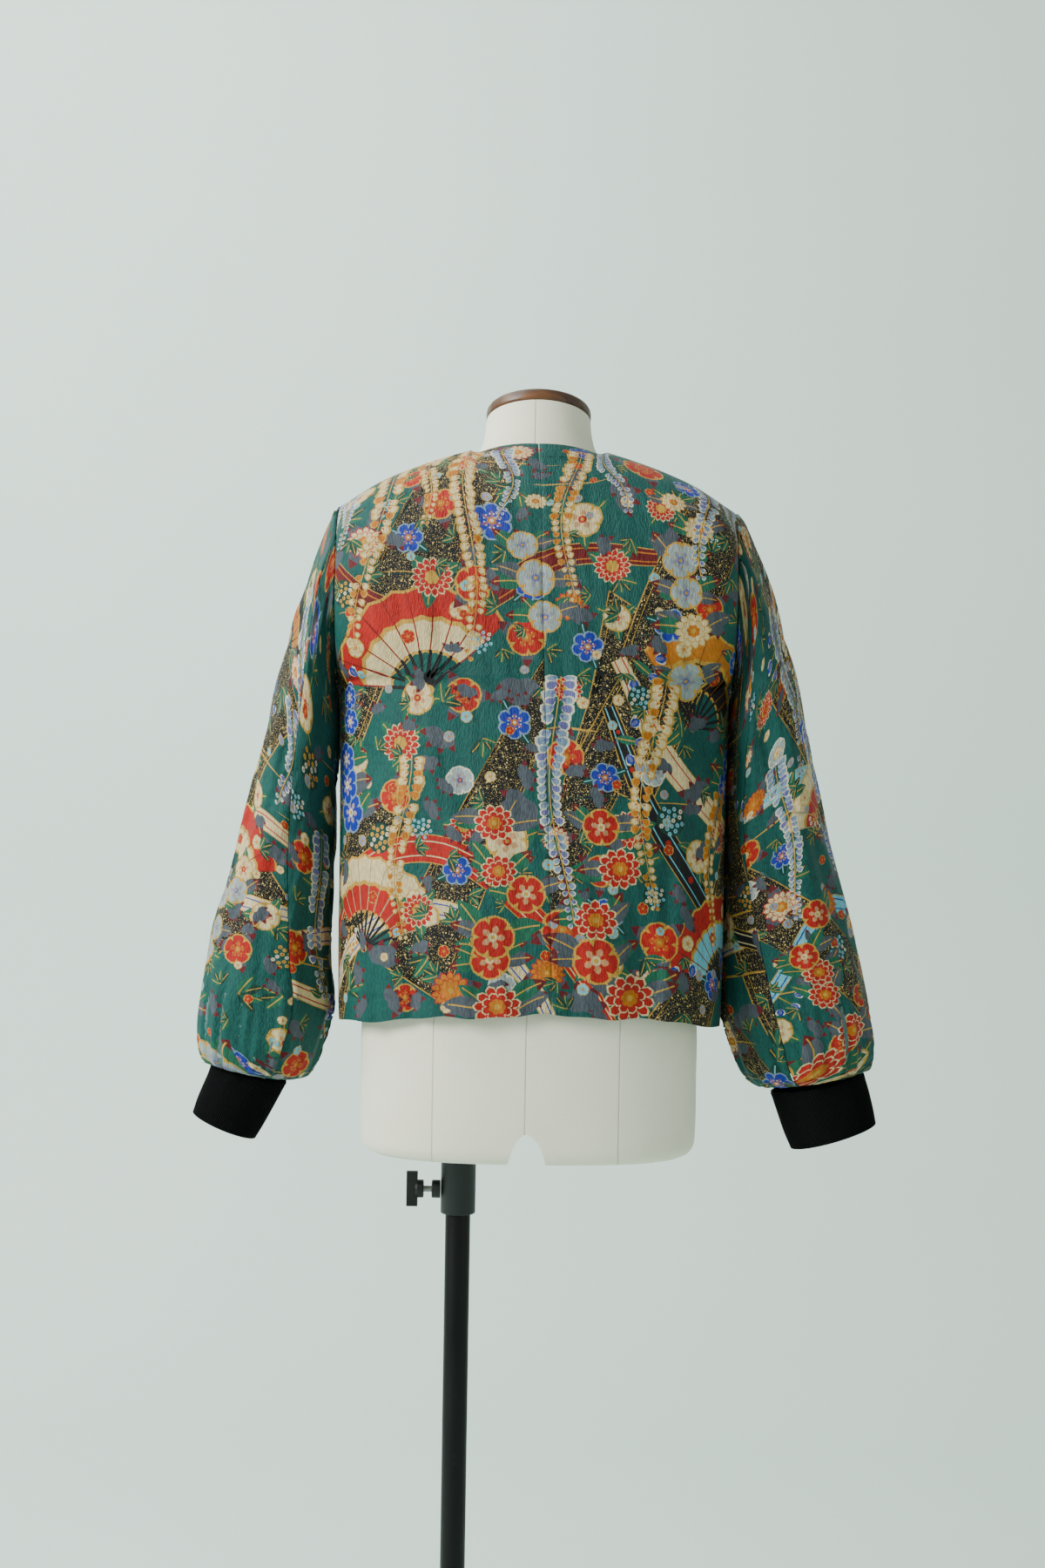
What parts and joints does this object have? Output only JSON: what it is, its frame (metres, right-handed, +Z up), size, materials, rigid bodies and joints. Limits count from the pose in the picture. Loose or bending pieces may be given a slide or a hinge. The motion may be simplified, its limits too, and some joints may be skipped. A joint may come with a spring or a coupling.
{
  "type": "haori-cloth jacket on dress form",
  "caption": "Collarless jacket in flower-printed kimono crepe with puffed sleeves and black knit cuffs, worn on a limbless dress form with a wooden neck cap, pole and round base.",
  "frame": {"origin": "underside of the base, on the floor, under the form's centre plane and pole line", "axes": "+Z up along the stand; the jacket's back faces -Y; +X to the right of a viewer who sees the back"},
  "size_m": [0.6877, 0.38, 1.5405],
  "materials": {
    "crepe": "printed silk crepe, pebbled, soft sheen",
    "knit": "ribbed knit, matte",
    "linen": "cream jersey cover, matte",
    "walnut": "dark oiled wood",
    "stand": "black lacquer, satin, light scratches",
    "fitting": "grey-black paint, satin",
    "screw": "plain steel",
    "knob": "moulded, satin"
  },
  "bodies": {
    "stand": {"base": "stand", "pole": "stand"},
    "form": {"form_torso": "linen", "neck_cap": "walnut", "plate": "fitting", "collar": "fitting", "boss": "fitting", "back_left": "crepe", "back_right": "crepe", "front_left": "crepe", "front_right": "crepe", "sleeve_left_outer": "crepe", "sleeve_left_inner": "crepe", "sleeve_right_outer": "crepe", "sleeve_right_inner": "crepe", "cuff_left": "knit", "cuff_right": "knit"},
    "knob": {"clamp_screw": "screw", "wing_knob": "knob"}
  },
  "joints": [
    {"name": "height_slide", "type": "slide", "parent": "stand", "child": "form", "axis": [0, 0, 1], "range_m": [-0.2, 0.15]},
    {"name": "knob_turn", "type": "hinge", "parent": "form", "child": "knob", "pos_m": [-0.1, 0, 0.745], "axis": [-1, 0, 0], "range_deg": [0, 360]}
  ]
}
